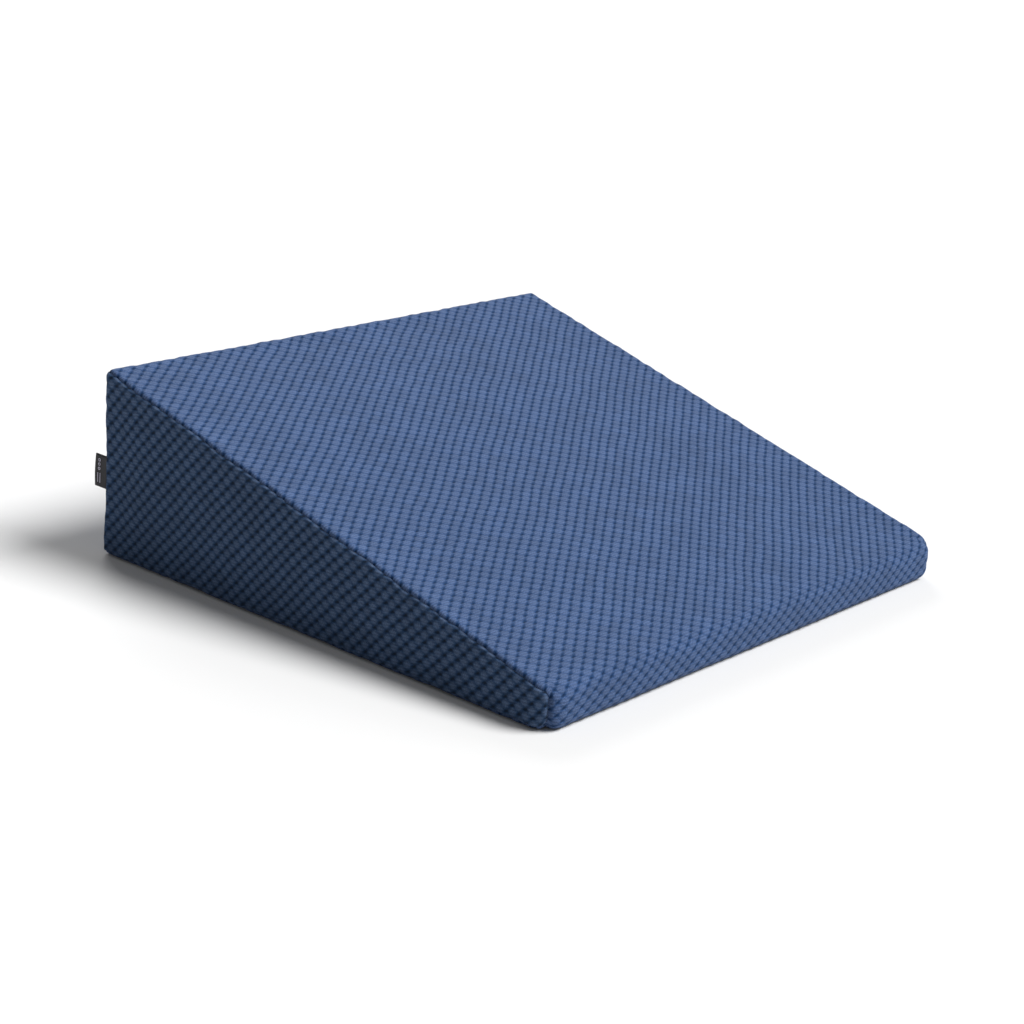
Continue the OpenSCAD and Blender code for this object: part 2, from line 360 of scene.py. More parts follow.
def settle(points):
    """Rounds the two nose corners, in plan and from below, and lets the thick end lean back and stand up."""
    q = np.array(points, float)
    a = np.maximum(np.abs(q[:, 0]) - (HALF_W - NOSE_CORNER_R), 0)
    b = np.maximum(NOSE_Y + NOSE_CORNER_R - q[:, 1], 0)
    in_corner = smoothstep(a / NOSE_CORNER_R) * smoothstep(b / NOSE_CORNER_R)
    c = np.maximum(NOSE_LIFT_R - q[:, 2], 0) * in_corner
    both = np.sqrt(a * a + b * b + c * c)
    scale = np.where((a > 0) & (b > 0), np.maximum(a, b) / np.maximum(both, 1e-9), 1)
    q[:, 0] -= np.sign(q[:, 0]) * a * (1 - scale)
    q[:, 1] += b * (1 - scale)
    q[:, 2] += c * (1 - scale)
    rise = smoothstep((q[:, 2] - LEAN_FROM) / LEAN_OVER)
    q[:, 1] += LEAN * rise * np.clip((q[:, 1] - NOSE_Y) / (REAR_Y - NOSE_Y), 0, 1) ** 2
    q[:, 2] += LIFT * np.clip(q[:, 2] / LIFT_FULL_Z, 0, 1) ** 1.5
    return q


# ---------------------------------------------------------------- panels that run across the width
STITCH_IN, STITCH_SINK, STITCH_DENT_W = 3.5 * MM, 0.6 * MM, 1.5 * MM
FOLD_DROP, FOLD_W = 1.1 * MM, 1.3 * MM
ALLOWANCE = 2.8 * MM
ARC_COLUMNS = 7
NO_SEAM = 1.0
PUCKER_SHIFT = 0.4


def band_columns(step_u):
    """The columns across a band panel: turned-in edge, fold, rounded edge, flat middle and back again."""
    count = int(round(2 * (HALF_W - EDGE_R) / step_u)) + 1
    flat_x = np.linspace(-(HALF_W - EDGE_R), HALF_W - EDGE_R, count)
    fractions = np.linspace(1, 0, ARC_COLUMNS + 1)[:-1]
    columns = [("in", -1, 0), ("fold", -1, 1)] + [("arc", -1, f) for f in fractions]
    columns += [("flat", 0, x) for x in flat_x]
    return columns + [("arc", 1, f) for f in fractions[::-1]] + [("fold", 1, 1), ("in", 1, 0)]


def band_panel(name, outline, step_u, seed, open_start=False, open_end=False, crown=0.0, flat=False):
    """A panel of the band around the wedge: relief outside, turned in at its seams and closed inside.

    open_start and open_end say that the edge isn't a seam but a fold beside the zip.
    """
    p, d, s = outline
    columns = band_columns(step_u)
    rows, n = len(p), len(columns)
    seams = {side: seam_angle(p, d, side) - SEAM_HALF_GAP / EDGE_R for side in (-1, 1)}

    x_in, theta, depth = np.zeros((rows, n)), np.zeros((rows, n)), np.zeros((rows, n))
    for k, (kind, side, value) in enumerate(columns):
        if kind == "flat":
            x_in[:, k] = value
            continue
        x_in[:, k] = side * (HALF_W - EDGE_R)
        if kind == "in":
            depth[:, k] = CLOTH_T
            continue
        theta[:, k] = side * seams[side] * value
        depth[:, k] = ALLOWANCE if kind == "fold" else 0

    to_left = (x_in + (HALF_W - EDGE_R)) + EDGE_R * (theta + seams[-1][:, None])
    to_right = ((HALF_W - EDGE_R) - x_in) + EDGE_R * (seams[1][:, None] - theta)
    dist_u = np.minimum(to_left, to_right)
    from_start = np.full(rows, NO_SEAM) if open_start else s
    from_end = np.full(rows, NO_SEAM) if open_end else s[-1] - s
    dist_s = np.minimum(from_start, from_end)[:, None]
    dist = np.maximum(np.minimum(dist_u, dist_s), 0)
    u = x_in + EDGE_R * theta
    v = np.repeat(s[:, None], n, 1)
    along = np.where(dist_u < dist_s, v, u + PUCKER_SHIFT)
    h, p1, p2 = cloth_height(u, v, dist, along, BAND_KNIT, seed, flat)
    if crown:
        facing = np.clip((np.abs(d @ TO_SLOPE) + np.abs(d @ TO_REAR)) - 0.2, 0, 1)[:, None]
        bulge = (1 - (x_in / HALF_W) ** 2) * np.sin(np.pi * np.clip(s / s[-1], 0, 1))[:, None]
        h = h + crown * bulge * facing
    for is_open, edge in ((open_start, s), (open_end, s[-1] - s)):
        if is_open:
            row = np.exp(-(((edge - STITCH_IN) / STITCH_DENT_W) ** 2))[:, None]
            h = h * (1 - row) - STITCH_SINK * row - FOLD_DROP * np.exp(-((edge / FOLD_W) ** 2))[:, None]
    h = np.where(depth > 0, 0, h)
    reach = EDGE_R + h - depth
    sin_t, cos_t = np.sin(theta), np.cos(theta)
    y = p[:, :1] + reach * cos_t * d[:, :1]
    z = p[:, 1:] + reach * cos_t * d[:, 1:]
    points = np.stack([x_in + reach * sin_t, y, z], -1).reshape(-1, 3)
    obj = new_mesh(name, settle(points), tube_faces(rows, n))
    outward(obj)
    add_cloth_data(obj, u.ravel(), v.ravel(), p1.ravel(), p2.ravel())
    return obj


# ---------------------------------------------------------------- the two side panels
def side_outline(step):
    """The whole outline as four sides that meet in the middle of the rounded corners."""
    mid_base = -3 * math.pi / 4
    mid_top = (math.pi + A_SLOPE) / 2
    base = chain(
        turn(C_NOSE_BASE, NOSE_BASE_R, mid_base, -math.pi / 2, step),
        straight(NOSE_IN_BASE, C_REAR_BASE, TO_BASE, step),
        turn(C_REAR_BASE, EDGE_R, -math.pi / 2, A_BASE_SEAM, step),
    )
    rear = chain(
        turn(C_REAR_BASE, EDGE_R, A_BASE_SEAM, 0, step),
        straight(C_REAR_BASE, C_REAR_TOP, TO_REAR, step),
        turn(C_REAR_TOP, EDGE_R, 0, A_TOP_SEAM, step),
    )
    slope = chain(
        turn(C_NOSE_TOP, NOSE_TOP_R, mid_top, A_SLOPE, step),
        straight(SLOPE_LOW, C_REAR_TOP, TO_SLOPE, step),
        turn(C_REAR_TOP, EDGE_R, A_SLOPE, A_TOP_SEAM, step),
    )
    nose = chain(
        turn(C_NOSE_BASE, NOSE_BASE_R, mid_base, -math.pi, step),
        straight(NOSE_IN_LOW, NOSE_IN_HIGH, TO_NOSE, step),
        turn(C_NOSE_TOP, NOSE_TOP_R, math.pi, mid_top, step),
    )
    return base, rear, slope, nose


def resampled(part, n):
    """A side of the outline as n + 1 points and directions, spread evenly by its outer length."""
    p, d, s = part
    at = np.linspace(0, s[-1], n + 1)
    q, e = (np.stack([np.interp(at, s, a[:, k]) for k in range(2)], 1) for a in (p, d))
    return q, e / np.linalg.norm(e, axis=1)[:, None]


SIDE_EDGES = (
    (C_REAR_BASE, TO_BASE, EDGE_R), (C_REAR_TOP, TO_REAR, EDGE_R),
    (C_REAR_TOP, TO_SLOPE, EDGE_R), (C_NOSE_BASE, TO_NOSE, NOSE_BASE_R),
)
SIDE_STEP, SIDE_STEP_UP = 1.75 * MM, 1.25
BULGE, BULGE_FROM_EDGE = 1.8 * MM, 50 * MM
AT_REAR = 10 * MM


def inside(points):
    """How far points of the side lie inside the nearest straight stretch of the inner outline."""
    near = np.full(len(points), NO_SEAM)
    for centre, out, r in SIDE_EDGES:
        near = np.minimum(near, (centre + (r - EDGE_R) * out - points) @ out)
    return np.maximum(near, 0)


def side_along(points):
    """Where points lie along their seam: by height at the thick end and by length elsewhere."""
    at_rear = np.abs(points[:, 0] - C_REAR_TOP[0]) < AT_REAR
    return np.where(at_rear, points[:, 1], points[:, 0] + 1)


def side_cloth(points, dist, along, side, seed):
    """Height of the side's cloth, and its place on the flat cloth with the lattice phases there."""
    u, v = side * points[:, 0], points[:, 1]
    h, p1, p2 = cloth_height(u, v, dist, along, SIDE_KNIT, seed, relief_depth=SIDE_RELIEF)
    middle = np.clip(inside(points) / BULGE_FROM_EDGE, 0, 1)
    return h + BULGE * smoothstep(middle), (u, v, p1, p2)


def side_panel(name, side, seed):
    """A side panel: a grid of cloth inside the outline, and rings that turn it in at the seam."""
    base, rear, slope, nose = side_outline(0.5 * MM)
    n_a = int(round(base[2][-1] / SIDE_STEP))
    n_b = int(round(rear[2][-1] / (SIDE_STEP_UP * SIDE_STEP)))
    (pb, db), (ps, ds) = resampled(base, n_a), resampled(slope, n_a)
    (pn, dn), (pr, dr) = resampled(nose, n_b), resampled(rear, n_b)
    a, b = np.linspace(0, 1, n_a + 1)[:, None, None], np.linspace(0, 1, n_b + 1)[None, :, None]
    grid = (1 - b) * pb[:, None] + b * ps[:, None] + (1 - a) * pn[None] + a * pr[None]
    grid = grid - ((1 - a) * (1 - b) * pb[0] + a * (1 - b) * pb[-1] + (1 - a) * b * ps[0] + a * b * ps[-1])

    loop = [(i, 0) for i in range(n_a)] + [(n_a, j) for j in range(n_b)]
    loop += [(i, n_b) for i in range(n_a, 0, -1)] + [(0, j) for j in range(n_b, 0, -1)]
    around = len(loop)
    loop_p = np.array([grid[i, j] for i, j in loop])
    loop_d = np.concatenate([db[:-1], dr[:-1], ds[:0:-1], dn[:0:-1]])
    loop_along = side_along(loop_p)
    seam = seam_angle(loop_p, loop_d, side) + SEAM_HALF_GAP / EDGE_R
    arc = EDGE_R * (math.pi / 2 - seam)

    flat = grid.reshape(-1, 2)
    h, place = side_cloth(flat, inside(flat) + EDGE_R * math.pi / 4, side_along(flat), side, seed)
    x = np.full(len(flat), HALF_W - EDGE_R) + EDGE_R + h
    points, places = [np.stack([side * x, flat[:, 0], flat[:, 1]], 1)], [place]
    rings = [np.array([i * (n_b + 1) + j for i, j in loop])]
    steps = [(f, 0.0) for f in np.linspace(0, 1, ARC_COLUMNS + 1)[1:]] + [(1.0, ALLOWANCE), (0.0, CLOTH_T)]
    for f, depth in steps:
        theta = math.pi / 2 - f * (math.pi / 2 - seam)
        if depth:
            reach = np.full(around, EDGE_R - depth)
            place = tuple(q[-around:] for q in places[-1])
        else:
            on_arc = loop_p + loop_d * (f * arc)[:, None]
            h, place = side_cloth(on_arc, arc * (1 - f), loop_along, side, seed)
            reach = EDGE_R + h
        x = side * (HALF_W - EDGE_R + reach * np.sin(theta))
        yz = loop_p + loop_d * (reach * np.cos(theta))[:, None]
        rings.append(np.arange(around) + sum(len(q) for q in points))
        points.append(np.stack([x, yz[:, 0], yz[:, 1]], 1))
        places.append(place)

    faces = []
    for i in range(n_a):
        for j in range(n_b):
            q = i * (n_b + 1) + j
            faces.append((q, q + n_b + 1, q + n_b + 2, q + 1))
    for r0, r1 in zip(rings[:-1], rings[1:]):
        faces += [(r0[k], r1[k], r1[(k + 1) % around], r0[(k + 1) % around]) for k in range(around)]
    faces.append(rings[-1])
    faces = [tuple(int(k) for k in face) for face in faces]
    obj = new_mesh(name, settle(np.concatenate(points)), faces)
    outward(obj)
    add_cloth_data(obj, *(np.concatenate([q[k] for q in places]) for k in range(4)))
    return obj


# ---------------------------------------------------------------- materials
def shader(name):
    """A new material with its node and link lists and its Principled shader."""
    mat = bpy.data.materials.new(name)
    mat.use_nodes = True
    return mat, mat.node_tree.nodes, mat.node_tree.links, mat.node_tree.nodes["Principled BSDF"]


def put(node_list, kind, **values):
    """A new node with the inputs of these names set, and other names set on the node itself."""
    node = node_list.new(kind)
    for key, value in values.items():
        if key in node.inputs:
            node.inputs[key].default_value = value
        else:
            setattr(node, key, value)
    return node


def math_node(nd, ln, operation, *values):
    """A Math node whose inputs are sockets or plain numbers; returns its output."""
    node = nd.new("ShaderNodeMath")
    node.operation = operation
    for socket, value in zip(node.inputs, values):
        if isinstance(value, (int, float)):
            socket.default_value = value
        else:
            ln.new(value, socket)
    return node.outputs["Value"]


def ranged(nd, ln, value, low, high, out_low, out_high, smooth=True):
    """Maps low..high of a value to out_low..out_high, and stops at both ends."""
    node = nd.new("ShaderNodeMapRange")
    node.interpolation_type = "SMOOTHSTEP" if smooth else "LINEAR"
    for name, number in (("From Min", low), ("From Max", high), ("To Min", out_low), ("To Max", out_high)):
        node.inputs[name].default_value = number
    ln.new(value, node.inputs["Value"])
    return node.outputs["Result"]


def textured(nd, ln, kind, **values):
    """A texture in the object's own coordinates."""
    texture = put(nd, kind, **values)
    ln.new(nd.new("ShaderNodeTexCoord").outputs["Object"], texture.inputs["Vector"])
    return texture


def shaded(nd, ln, value, color, dark, light, low=0.0, high=1.0):
    """A color that goes from dark to light times itself as the value goes from low to high."""
    ramp = nd.new("ShaderNodeValToRGB")
    for stop, position, share in zip(ramp.color_ramp.elements, (low, high), (dark, light)):
        stop.position = position
        stop.color = (*[share * c for c in color], 1)
    ln.new(value, ramp.inputs["Fac"])
    return ramp.outputs["Color"]


def bumped(nd, ln, bsdf, height, strength, distance):
    """Bump on a material, distance deep."""
    bump = put(nd, "ShaderNodeBump", Strength=strength, Distance=distance)
    ln.new(height, bump.inputs["Height"])
    ln.new(bump.outputs["Normal"], bsdf.inputs["Normal"])


def knit_light(nd, ln, split, axes, pit_depth, gap_depth, gap_w, weak_share):
    """How light the knit is: 1 on a pad, darker in the pits and in the two sets of gaps between pads.

    The gaps along one lattice direction are weaker than the other's, by weak_share. The pits' darkening is
    partly the dark under-yarn and partly painted shade; the gaps' darkening is painted shade, stronger along
    one direction as the light and view fall.
    """
    def do(*a):
        return math_node(nd, ln, *a)

    d1 = do("SUBTRACT", do("FRACT", split.outputs["X"]), 0.5)
    d2 = do("SUBTRACT", do("FRACT", split.outputs["Y"]), 0.5)
    du, dv = (do("ADD", do("MULTIPLY", d1, a), do("MULTIPLY", d2, b)) for a, b in axes)
    r = do("SQRT", do("ADD", do("MULTIPLY", du, du), do("MULTIPLY", dv, dv)))
    # Pits: partly the dark under-yarn, partly painted shade.
    pit = ranged(nd, ln, r, 0.0, 1.65, 1.0, 0.0)
    # Gaps between pads: painted shade, weaker in one set than the other.
    weak = ranged(nd, ln, do("ABSOLUTE", d1), 0.0, gap_w, weak_share, 0.0)
    strong = ranged(nd, ln, do("ABSOLUTE", d2), 0.0, gap_w, 1.0, 0.0)
    gap = do("MULTIPLY", do("MAXIMUM", weak, strong), ranged(nd, ln, r, 0.9, 2.9, 1.0, 0.6))
    in_pit = do("SUBTRACT", 1.0, do("MULTIPLY", pit, pit_depth))
    return do("MULTIPLY", in_pit, do("SUBTRACT", 1.0, do("MULTIPLY", gap, gap_depth)))


def knit_material(name, yarn, light, knit, pit_depth, gap_depth, gap_w, weak_share):
    """Padded knit: broad pads with fine courses, blue-dark pits (partly dark under-yarn, partly painted shade),
    soft gaps of painted shade, and heathered yarn.
    """
    mat, nd, ln, bsdf = shader(name)

    def do(*a):
        return math_node(nd, ln, *a)

    cloth = put(nd, "ShaderNodeAttribute", attribute_name="cloth")
    lattice = put(nd, "ShaderNodeAttribute", attribute_name="lattice")
    split = nd.new("ShaderNodeSeparateXYZ")
    ln.new(lattice.outputs["Vector"], split.inputs[0])
    keep = knit_light(nd, ln, split, knit[1], pit_depth, gap_depth, gap_w, weak_share)

    # Courses run across the pads, painted in the colour as light and dark bands (painted highlight and shade of
    # each course), and the yarn is speckled and blotched on top of them.
    course = do("SINE", do("MULTIPLY", do("ADD", split.outputs["X"], split.outputs["Y"]), 4 * math.pi))
    heather = put(nd, "ShaderNodeTexNoise", Scale=900.0, Detail=3.0, Roughness=0.75)
    loops = put(nd, "ShaderNodeTexVoronoi", Scale=1150.0, Randomness=0.75)
    blotch = put(nd, "ShaderNodeTexNoise", Scale=14.0, Detail=3.0, Roughness=0.55)
    for texture in (heather, loops, blotch):
        ln.new(cloth.outputs["Vector"], texture.inputs["Vector"])
    pad_id = nd.new("ShaderNodeCombineXYZ")
    ln.new(do("ROUND", split.outputs["X"]), pad_id.inputs[0])
    ln.new(do("ROUND", split.outputs["Y"]), pad_id.inputs[1])
    tones = put(nd, "ShaderNodeTexWhiteNoise", noise_dimensions="2D")
    ln.new(pad_id.outputs["Vector"], tones.inputs["Vector"])

    mix = put(nd, "ShaderNodeMix", data_type="RGBA")
    ln.new(ranged(nd, ln, heather.outputs["Fac"], 0.38, 0.66, 0.0, 1.0, False), mix.inputs["Factor"])
    mix.inputs["A"].default_value, mix.inputs["B"].default_value = (*yarn, 1), (*light, 1)
    per_pad = ranged(nd, ln, tones.outputs["Value"], 0.0, 1.0, 0.91, 1.09, False)
    wash = ranged(nd, ln, blotch.outputs["Fac"], 0.25, 0.75, 0.93, 1.07, False)
    # Painted highlight and shade: light and dark bands along the courses.
    course_highlight = ranged(nd, ln, course, -1.0, 1.0, 0.84, 1.14, False)
    value = do("MULTIPLY", do("MULTIPLY", per_pad, wash), do("MULTIPLY", keep, course_highlight))
    tint = nd.new("ShaderNodeHueSaturation")
    ln.new(value, tint.inputs["Value"])
    # The painted shade in the pits and gaps also makes the blue more saturated there.
    ln.new(ranged(nd, ln, keep, 0.4, 1.0, 1.38, 1.0, False), tint.inputs["Saturation"])
    ln.new(mix.outputs["Result"], tint.inputs["Color"])
    ln.new(tint.outputs["Color"], bsdf.inputs["Base Color"])

    fine = do("MULTIPLY_ADD", loops.outputs["Distance"], -0.22, do("MULTIPLY", course, 0.07))
    bumped(nd, ln, bsdf, do("ADD", keep, fine), 0.7, 1 * MM)
    ln.new(ranged(nd, ln, heather.outputs["Fac"], 0.3, 0.7, 0.78, 0.95), bsdf.inputs["Roughness"])
    bsdf.inputs["Sheen Weight"].default_value = 0.12
    bsdf.inputs["Sheen Roughness"].default_value = 0.45
    bsdf.inputs["Sheen Tint"].default_value = (0.45, 0.62, 0.95, 1)
    bsdf.inputs["Specular IOR Level"].default_value = 0.22
    return mat


def woven_material(name, color, scale=1400.0, roughness=0.8, sheen=0.15):
    """Tightly woven tape or thread: a fine crossing weave in colour and bump."""
    mat, nd, ln, bsdf = shader(name)
    bands = textured(nd, ln, "ShaderNodeTexWave", wave_type="BANDS", bands_direction="DIAGONAL",
                     Scale=scale / 3, Distortion=0.6)
    fuzz = textured(nd, ln, "ShaderNodeTexNoise", Scale=scale, Detail=2.0)
    weave = math_node(nd, ln, "MULTIPLY_ADD", bands.outputs["Fac"], 0.6, fuzz.outputs["Fac"])
    ln.new(shaded(nd, ln, weave, color, 0.55, 1.35, low=0.25), bsdf.inputs["Base Color"])
    bumped(nd, ln, bsdf, weave, 0.4, 0.3 * MM)
    bsdf.inputs["Roughness"].default_value = roughness
    bsdf.inputs["Sheen Weight"].default_value = sheen
    return mat


def metal_material(name, color):
    """Dark plated zinc, lightly scuffed."""
    mat, nd, ln, bsdf = shader(name)
    scuff = textured(nd, ln, "ShaderNodeTexNoise", Scale=420.0, Detail=5.0, Roughness=0.65).outputs["Fac"]
    ln.new(ranged(nd, ln, scuff, 0.3, 0.75, 0.24, 0.46, False), bsdf.inputs["Roughness"])
    ln.new(shaded(nd, ln, scuff, color, 0.8, 1.3), bsdf.inputs["Base Color"])
    bumped(nd, ln, bsdf, scuff, 0.12, 0.2 * MM)
    bsdf.inputs["Metallic"].default_value = 0.85
    return mat


def plastic_material(name, color):
    """Half-gloss nylon with a faint grain."""
    mat, nd, ln, bsdf = shader(name)
    grain = textured(nd, ln, "ShaderNodeTexNoise", Scale=1500.0, Detail=2.0).outputs["Fac"]
    ln.new(shaded(nd, ln, grain, color, 0.85, 1.2), bsdf.inputs["Base Color"])
    bumped(nd, ln, bsdf, grain, 0.15, 0.1 * MM)
    bsdf.inputs["Roughness"].default_value = 0.38
    return mat


def foam_material(name, color, pore):
    """Open-cell foam: small round pores in bump, and painted shade that darkens them in colour."""
    mat, nd, ln, bsdf = shader(name)
    cells = textured(nd, ln, "ShaderNodeTexVoronoi", Scale=1 / pore, Randomness=1.0).outputs["Distance"]
    cloud = textured(nd, ln, "ShaderNodeTexNoise", Scale=30.0, Detail=4.0).outputs["Fac"]
    tint = nd.new("ShaderNodeHueSaturation")
    ln.new(ranged(nd, ln, cloud, 0.0, 1.0, 0.92, 1.06, False), tint.inputs["Value"])
    # Painted shade: each pore's hollow is darker in the colour.
    ln.new(shaded(nd, ln, cells, color, 0.72, 1.0, high=0.5), tint.inputs["Color"])
    ln.new(tint.outputs["Color"], bsdf.inputs["Base Color"])
    bumped(nd, ln, bsdf, cells, 0.5, 0.5 * MM)
    bsdf.inputs["Roughness"].default_value = 0.95
    return mat


KNIT = knit_material("padded_knit", (0.026, 0.054, 0.140), (0.084, 0.130, 0.240), BAND_KNIT,
                     pit_depth=0.56, gap_depth=0.36, gap_w=0.27, weak_share=0.66)
# The side panels' copy of the knit is painted shade: the same cloth as the band, given darker, less blue yarn
# and deeper pit and gap darkening.
KNIT_SIDE_SHADED = knit_material("padded_knit_side_painted_shade", (0.030, 0.053, 0.112), (0.080, 0.123, 0.205), SIDE_KNIT,
                          pit_depth=0.66, gap_depth=0.60, gap_w=0.36, weak_share=0.68)
TAPE = woven_material("zip_tape_weave", (0.024, 0.038, 0.082))
THREAD = woven_material("sewing_thread", (0.040, 0.060, 0.120), scale=2600.0)
LABEL = woven_material("label_weave", (0.007, 0.007, 0.011), scale=2000.0, roughness=0.6, sheen=0.03)
LABEL_MARK = woven_material("label_mark_thread", (0.55, 0.53, 0.66), scale=2400.0, roughness=0.7)
COIL = plastic_material("coil_nylon", (0.030, 0.042, 0.080))
METAL = metal_material("zip_plating", (0.11, 0.12, 0.15))
# A grey foam, its grey made darker partly as painted shade for the gap between the zip tapes, where it shows.
BASE_FOAM = foam_material("base_foam_cells", (0.36, 0.37, 0.38), pore=1.1 * MM)
SOFT_FOAM = foam_material("comfort_foam_cells", (0.80, 0.77, 0.66), pore=0.6 * MM)

# ---------------------------------------------------------------- cover
FINE_STEP = 1.77 * MM
STEP_S = FINE_STEP
STEP_U = 2.18 * MM


def cover(obj, node, material=KNIT):
    """Hands a cover panel over as a stretched sheet."""
    return give(obj, "cushion", "knit_cover", node, material=material)


cover(band_panel("cover_top_panel", top_outline(STEP_S), STEP_U, 100, crown=1.2 * MM),
      "top_panel")
cover(band_panel("cover_rear_panel_upper", rear_upper_outline(FINE_STEP), STEP_U, 200,
                 open_end=True, crown=0.8 * MM),
      "rear_panel_upper")
cover(band_panel("cover_rear_panel_lower", rear_lower_outline(FINE_STEP), STEP_U, 300, open_start=True),
      "rear_panel_lower")
cover(band_panel("cover_bottom_panel", bottom_outline(2.6 * MM), 3.4 * MM, 400, flat=True),
      "bottom_panel")
for side, word, seed in ((-1, "left", 500), (1, "right", 600)):
    cover(side_panel(f"cover_{word}_side_panel", side, seed), f"{word}_side_panel",
          KNIT_SIDE_SHADED)


# ---------------------------------------------------------------- foam
# LAYER_D is how deep under the slope's outer face the two foams meet. The groove leaves room for the zip.
FOAM_REACH = EDGE_R - CLOTH_T - 0.5 * MM
LAYER_D, LAYER_HALF_GAP = 23.15 * MM, 0.15 * MM
GROOVE, GROOVE_FADE, GROOVE_D = (25 * MM, 59 * MM), 3 * MM, 2.4 * MM
FOAM_WAVE = 0.25 * MM


def whole_outline(step):
    """The outline all the way round, with its first point repeated at the end."""
    return chain(
        top_outline(step), rear_upper_outline(step),
        straight(inner([REAR_Y, ZIP_HIGH], TO_REAR), inner([REAR_Y, ZIP_LOW], TO_REAR), TO_REAR, step),
        rear_lower_outline(step), bottom_outline(step),
    )


def foam_body(name, above):
    """The foam above or below the plane where its two layers meet, with softened side edges."""
    p, d, _ = whole_outline(4 * MM)
    p, d = p[:-1], d[:-1]
    z = p[:, 1]
    in_groove = smoothstep((z - GROOVE[0]) / GROOVE_FADE) * smoothstep((GROOVE[1] - z) / GROOVE_FADE)
    pressed = in_groove * (d[:, 0] > 0.99)
    columns = [(-1, t) for t in np.linspace(math.pi / 2, 0, 6)]
    columns += [(x, None) for x in np.linspace(-1, 1, 41)[1:-1]]
    columns += [(1, t) for t in np.linspace(0, math.pi / 2, 6)]
    rings = []
    for x, t in columns:
        out = FOAM_REACH * (math.cos(t) if t is not None else 1)
        wide = x * (HALF_W - EDGE_R) + (x * FOAM_REACH * math.sin(t) if t is not None else 0)
        wave = FOAM_WAVE * (noise(p[:, 0] + 3 * wide, z + wide, 30 * MM, 77) - 1)
        reach = (out - GROOVE_D * pressed + wave * (t is None or t < 1.5))[:, None]
        rings.append(np.column_stack([np.full(len(p), wide), p + d * reach]))
    obj = new_mesh(name, settle(np.concatenate(rings)), tube_faces(len(columns), len(p)))
    bm = bmesh.new()
    bm.from_mesh(obj.data)
    normal = Vector((0, TO_SLOPE[0], TO_SLOPE[1]))
    shift = LAYER_HALF_GAP if above else -LAYER_HALF_GAP
    on_plane = Vector((0, NOSE_Y, NOSE_H)) + normal * (shift - LAYER_D)
    cut = bmesh.ops.bisect_plane(
        bm, geom=bm.verts[:] + bm.edges[:] + bm.faces[:], plane_co=on_plane, plane_no=normal,
        clear_inner=above, clear_outer=not above)
    edges = [e for e in cut["geom_cut"] if isinstance(e, bmesh.types.BMEdge)]
    bmesh.ops.contextual_create(bm, geom=edges)
    bmesh.ops.recalc_face_normals(bm, faces=bm.faces)
    bm.to_mesh(obj.data)
    bm.free()
    obj.data.set_sharp_from_angle(angle=math.radians(40))
    return obj


give(foam_body("foam_base_block", False), "cushion", "base_foam", "foam_base", material=BASE_FOAM)
give(foam_body("foam_comfort_layer", True), "cushion", "comfort_foam", "comfort_foam_layer", material=SOFT_FOAM)


# ---------------------------------------------------------------- threads
def strand(path, radii, sides=6):
    """A round strand along a path, as points and faces; radii is one radius per point."""
    path = np.asarray(path, float)
    tangent = np.gradient(path, axis=0)
    tangent /= np.linalg.norm(tangent, axis=1)[:, None]
    up = np.array([0.0, 0, 1]) if abs(tangent[0][2]) < 0.8 else np.array([0, 1.0, 0])
    points = []
    for at, t, r in zip(path, tangent, radii):
        side = np.cross(t, up)
        side /= np.linalg.norm(side)
        up = np.cross(side, t)
        a = np.arange(sides) * 2 * math.pi / sides
        points.append(at + r * (np.cos(a)[:, None] * side + np.sin(a)[:, None] * up))
    return np.concatenate(points), tube_faces(len(path), sides)


def joined(name, strands):
    """One mesh of many strands."""
    points, faces, start = [], [], 0
    for p, f in strands:
        points.append(p)
        faces += [tuple(k + start for k in face) for face in f]
        start += len(p)
    obj = new_mesh(name, np.concatenate(points), faces)
    outward(obj)
    return obj


# A stitch's points: their places along it, their rise in radii and the thread's thickness there.
STITCH_AT = np.array([-0.5, -0.36, 0, 0.36, 0.5])
STITCH_RISE = np.array([-1.3, -0.1, 0.15, -0.1, -1.3])
STITCH_THICK = np.array([0.55, 0.95, 1, 0.95, 0.55])


def stitches(path, out, pitch, length, r):
    """Stitches that arch over a path: each one rises out of the cloth, runs along it and dips in again."""
    path, out = np.asarray(path, float), np.asarray(out, float)
    s = np.concatenate([[0], np.cumsum(np.linalg.norm(np.diff(path, axis=0), axis=1))])
    total = max(1, int(s[-1] / pitch))
    made = []
    for k in range(total):
        at = (k + 0.5) * s[-1] / total + STITCH_AT * length
        q = np.stack([np.interp(at, s, path[:, i]) for i in range(3)], 1)
        o = np.stack([np.interp(at, s, out[:, i]) for i in range(3)], 1)
        made.append(strand(q + o * (STITCH_RISE * r)[:, None], STITCH_THICK * r))
    return made


def sewn(name, node, path, out, pitch, length, r):
    """A row of stitches along a path that settles with the cloth."""
    made = stitches(settle(path), out, pitch, length, r)
    give(joined(name, made), "cushion", "thread", node, material=THREAD)


def across(y, z, count):
    """A path from side to side at y and z."""
    x = np.linspace(-(HALF_W - EDGE_R), HALF_W - EDGE_R, count)
    return np.column_stack([x, np.full(count, y), np.full(count, z)])


SEAM_REACH = EDGE_R - 1.75 * MM
SEAM_PITCH, SEAM_STITCH = 3.6 * MM, 3.1 * MM
ZIP_PITCH, ZIP_STITCH, ZIP_THREAD_R = 3.3 * MM, 2.8 * MM, 0.34 * MM
for side, word in ((-1, "left"), (1, "right")):
    p, d, _ = whole_outline(3 * MM)
    t = seam_angle(p, d, side)
    n = np.column_stack([side * np.sin(t), np.cos(t)[:, None] * d])
    path = np.column_stack([np.full(len(p), side * (HALF_W - EDGE_R)), p]) + SEAM_REACH * n
    sewn(f"seam_stitches_{word}", f"seam_thread_{word}", path, n, SEAM_PITCH, SEAM_STITCH, THREAD_R)

